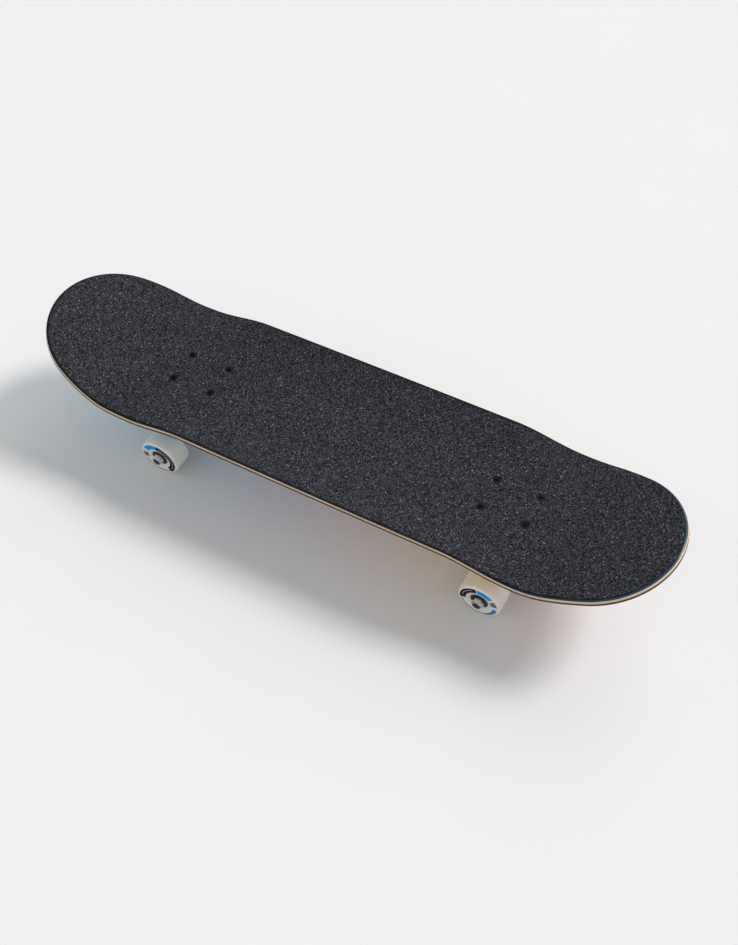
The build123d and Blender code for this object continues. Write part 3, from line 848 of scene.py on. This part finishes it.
for end, way in ENDS.items():
    truck_x = MIDDLE + way * TRUCK_FROM_MIDDLE
    ring = Vector((truck_x + way * RING_PLACE[0], 0, BOARD_BOTTOM - RING_PLACE[1]))
    downwards = Vector((-way * math.sin(KINGPIN_LEAN), 0, -math.cos(KINGPIN_LEAN)))
    for side, (height, far_radius) in BUSHING_SHAPES.items():
        out = downwards if side == "road" else -downwards
        made = lathe(f"{end}_{side}_bushing", bushing_profile(height, far_radius), 72)
        made.rotation_mode = "QUATERNION"
        made.rotation_quaternion = Vector((0, 1, 0)).rotation_difference(out)
        made.location = ring + out * RING_SEAT
        made.data.materials.append(CAD_MATERIALS["side_bushing"])
        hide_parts(f"{end}_{side}_side_bushing")
        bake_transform(made)

# ---------------------------------------------------------------- small hardware
BOLT_LENGTH = 25.4 * MM
BOLT_TIP = GRIP_TOP - HEAD_SINK - BOLT_LENGTH
THREAD_START = BOLT_TIP + 0.3 * MM
THREAD_END = BOARD_BOTTOM - 11.4 * MM
THREAD_CORE = 2.3 * MM
THREAD_CREST = 2.55 * MM
THREAD_PITCH = 0.8 * MM
THREAD_SEGMENTS = 32


def threads(name, places):
    """Screw threads standing on rods: the radius rises and falls along a helix."""
    vertices, faces = [], []
    rows = round((THREAD_END - THREAD_START) / (THREAD_PITCH / 8))
    for px, py in places:
        base = len(vertices)
        for r in range(rows + 1):
            z = THREAD_START + (THREAD_END - THREAD_START) * r / rows
            for k in range(THREAD_SEGMENTS):
                turn = k / THREAD_SEGMENTS
                phase = (z / THREAD_PITCH - turn) % 1
                rise = THREAD_CREST - THREAD_CORE
                radius = THREAD_CORE + rise * (1 - abs(2 * phase - 1))
                if r in (0, rows):
                    radius = THREAD_CORE
                a = math.tau * turn
                vertices.append((px + radius * math.cos(a), py + radius * math.sin(a), z))
        for r in range(rows):
            for k in range(THREAD_SEGMENTS):
                n = (k + 1) % THREAD_SEGMENTS
                here, above = base + r * THREAD_SEGMENTS, base + (r + 1) * THREAD_SEGMENTS
                faces.append((here + k, here + n, above + n, above + k))
        faces.append([base + k for k in reversed(range(THREAD_SEGMENTS))])
        faces.append([base + rows * THREAD_SEGMENTS + k for k in range(THREAD_SEGMENTS)])
    return new_object(name, vertices, faces)


NUT_END = 102.5 * MM
# Section of the ring in the axle nut's end, as (along the axle, radius).
INSERT = [
    (-1.2 * MM, 4.02 * MM), (0.1 * MM, 4.02 * MM), (0.22 * MM, 4.35 * MM),
    (0.16 * MM, 4.75 * MM), (-0.1 * MM, 4.95 * MM), (-1.2 * MM, 4.95 * MM),
]
NYLON = urethane_material(
    "black_nylon", (0.010, 0.010, 0.011), (0.018, 0.018, 0.019), 0.5, soft=0.0
)
for end, way in ENDS.items():
    made = threads(f"{end}_bolt_threads", bolt_places(way))
    made.data.materials.append(CAD_MATERIALS["mounting_bolts"])
    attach(made, "board")
    for side, outwards in SIDES.items():
        profile = [(outwards * along, radius) for along, radius in INSERT]
        made = lathe(f"{end}_{side}_nut_insert", profile, 64)
        axle_z = joints[f"{end}_{side}_wheel_spin"]["pos_m"][2]
        made.location = (axle_x[end], outwards * NUT_END, axle_z)
        made.data.materials.append(NYLON)
        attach(made, f"{end}_hanger_unit")

# ---------------------------------------------------------------- floor, light, camera
bpy.ops.mesh.primitive_plane_add(size=12, location=(0, 0, 0))
floor = bpy.context.object
floor.name = "floor"
paper = Nodes("floor_paper", Roughness=0.9)
mottle = paper.spread(paper.noise(3, 3, 0.6), 0.3, 0.7)
paper.to("Base Color", paper.mix(mottle, (0.805, 0.805, 0.805), (0.795, 0.795, 0.796)))
floor.data.materials.append(paper.material)

world = bpy.data.worlds.new("studio")
bpy.context.scene.world = world
world.use_nodes = True
sky = world.node_tree.nodes["Background"]
sky.inputs["Color"].default_value = (0.97, 0.98, 1.0, 1)
sky.inputs["Strength"].default_value = 0.478


def far_light(name, azimuth, elevation, spread, strength, colour=(1, 1, 1)):
    """A soft light far away. Its azimuth is counted from +X towards +Y."""
    data = bpy.data.lights.new(name, "SUN")
    data.angle = math.radians(spread)
    data.energy = strength
    data.color = colour
    made = bpy.data.objects.new(name, data)
    bpy.context.scene.collection.objects.link(made)
    a, e = math.radians(azimuth), math.radians(elevation)
    towards = Vector((math.cos(a) * math.cos(e), math.sin(a) * math.cos(e), math.sin(e)))
    made.location = 2 * towards
    made.rotation_mode = "QUATERNION"
    made.rotation_quaternion = (-towards).to_track_quat("-Z", "Y")


far_light("key", 50.4, 41.4, 18, 2.23, (1.0, 0.985, 0.965))
far_light("back_fill", 90, 35, 40, 0.62)
far_light("front_fill", 230, 50, 40, 0.12)
far_light("side_fill", 0, 40, 40, 0.1)

FILM = 36  # sensor and lens are in millimetres
LENS = 46.4305
CAMERA_PLACE = Vector((MIDDLE + 0.50784, -0.71339, 1.20484))
CAMERA_AIM = Vector((MIDDLE + 0.03001, -0.00917, 0.045))
CAMERA_ROLL = math.radians(-5.696)
camera_data = bpy.data.cameras.new("camera")
camera = bpy.data.objects.new("camera", camera_data)
bpy.context.scene.collection.objects.link(camera)
bpy.context.scene.camera = camera
camera_data.sensor_width = FILM
camera_data.lens = LENS
look = (CAMERA_AIM - CAMERA_PLACE).to_track_quat("-Z", "Y")
camera.location = CAMERA_PLACE
camera.rotation_mode = "QUATERNION"
camera.rotation_quaternion = look @ Quaternion((0, 0, 1), CAMERA_ROLL)
bpy.context.scene.view_settings.view_transform = "Standard"
